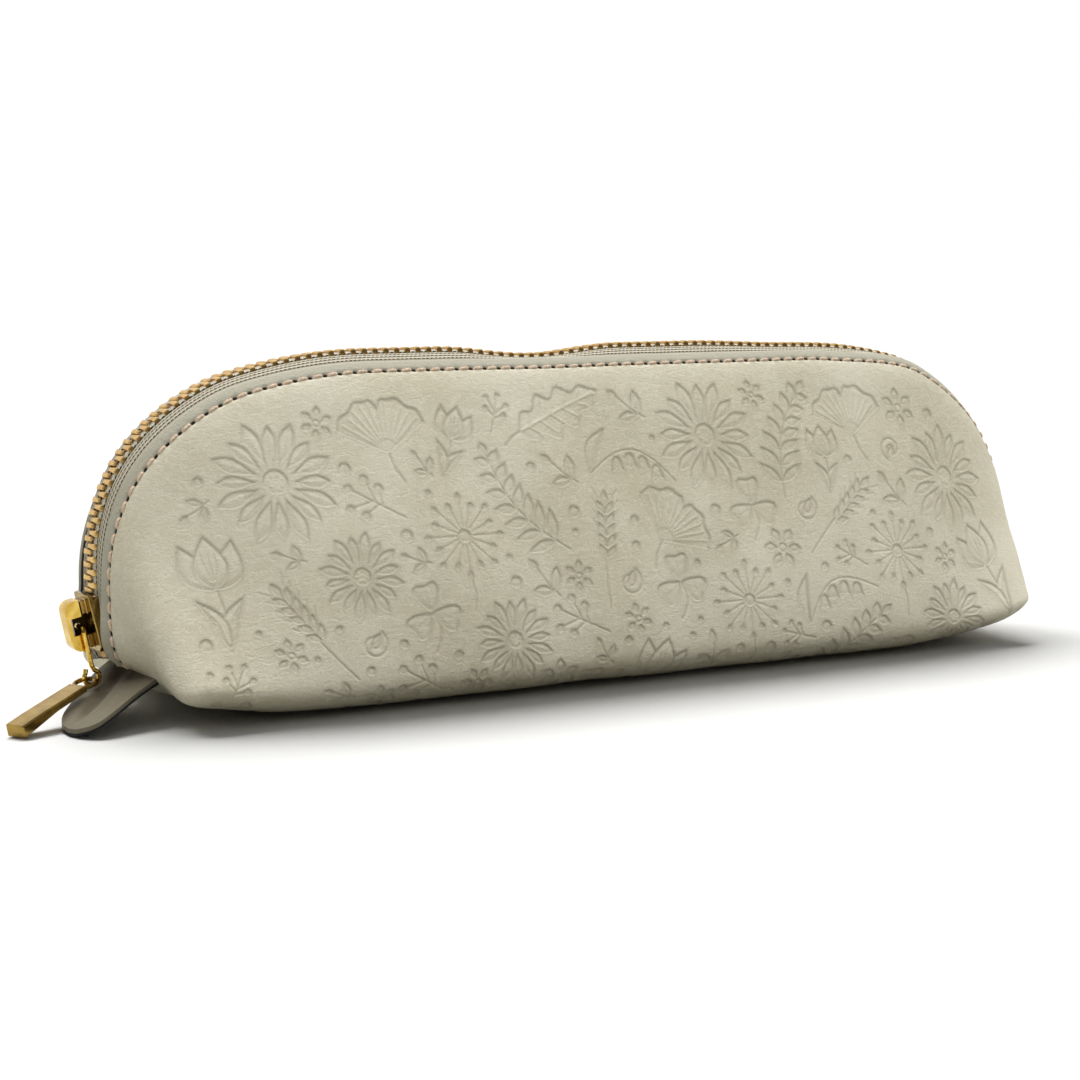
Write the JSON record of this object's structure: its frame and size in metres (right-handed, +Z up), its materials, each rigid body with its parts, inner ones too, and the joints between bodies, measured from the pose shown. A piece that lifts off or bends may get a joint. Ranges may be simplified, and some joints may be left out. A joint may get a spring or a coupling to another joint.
{
  "type": "pen pouch",
  "caption": "Arched leather pen pouch with a brass zip from end to end, a slider with a hooked link and bar puller, and a leather grip tab at each end.",
  "frame": {"origin": "middle of the flat base, on the table", "axes": "+X along the pouch, from the end where the slider rests to the other end; -Y out of the front face; +Z up"},
  "size_m": [0.2504, 0.058, 0.068],
  "materials": {
    "taupe_leather": "warm grey taupe, fine grain, satin, with pressed-in line drawings",
    "black_lining": "matt black lining cloth",
    "woven_tape": "grey beige herringbone zip tape",
    "antique_brass": "antique brass teeth",
    "polished_brass": "polished gold-coloured slider and puller",
    "spring_steel": "plain spring steel"
  },
  "bodies": {
    "pouch": {"leather_body": "taupe_leather", "body_lining": "black_lining", "front_zip_tape": "woven_tape", "back_zip_tape": "woven_tape", "front_tooth_row": "antique_brass", "back_tooth_row": "antique_brass", "front_top_stop": "antique_brass", "back_top_stop": "antique_brass", "bottom_stop": "antique_brass", "left_tab_leather": "taupe_leather", "left_tab_backing": "black_lining", "right_tab_leather": "taupe_leather", "right_tab_backing": "black_lining"},
    "slider": {"slider_body": "polished_brass", "slider_cap": "polished_brass", "lock_spring": "spring_steel"},
    "pull_link": {"pull_link": "polished_brass"},
    "puller": {"puller": "polished_brass"}
  },
  "joints": [
    {"name": "slider_travel", "type": "hinge", "parent": "pouch", "child": "slider", "pos_m": [-0.0699, 0, 0.0264], "axis": [0, 1, 0], "range_deg": [0, 84], "deforming": ["front_tooth_row", "back_tooth_row"]},
    {"name": "link_swing", "type": "hinge", "parent": "slider", "child": "pull_link", "pos_m": [-0.11129, 0, 0.01719], "axis": [0, 1, 0], "range_deg": [0, 75]},
    {"name": "puller_swing", "type": "hinge", "parent": "pull_link", "child": "puller", "pos_m": [-0.10989, -0.0025, 0.00741], "axis": [-0.515, 0.8572, 0], "range_deg": [-2, 45]}
  ]
}
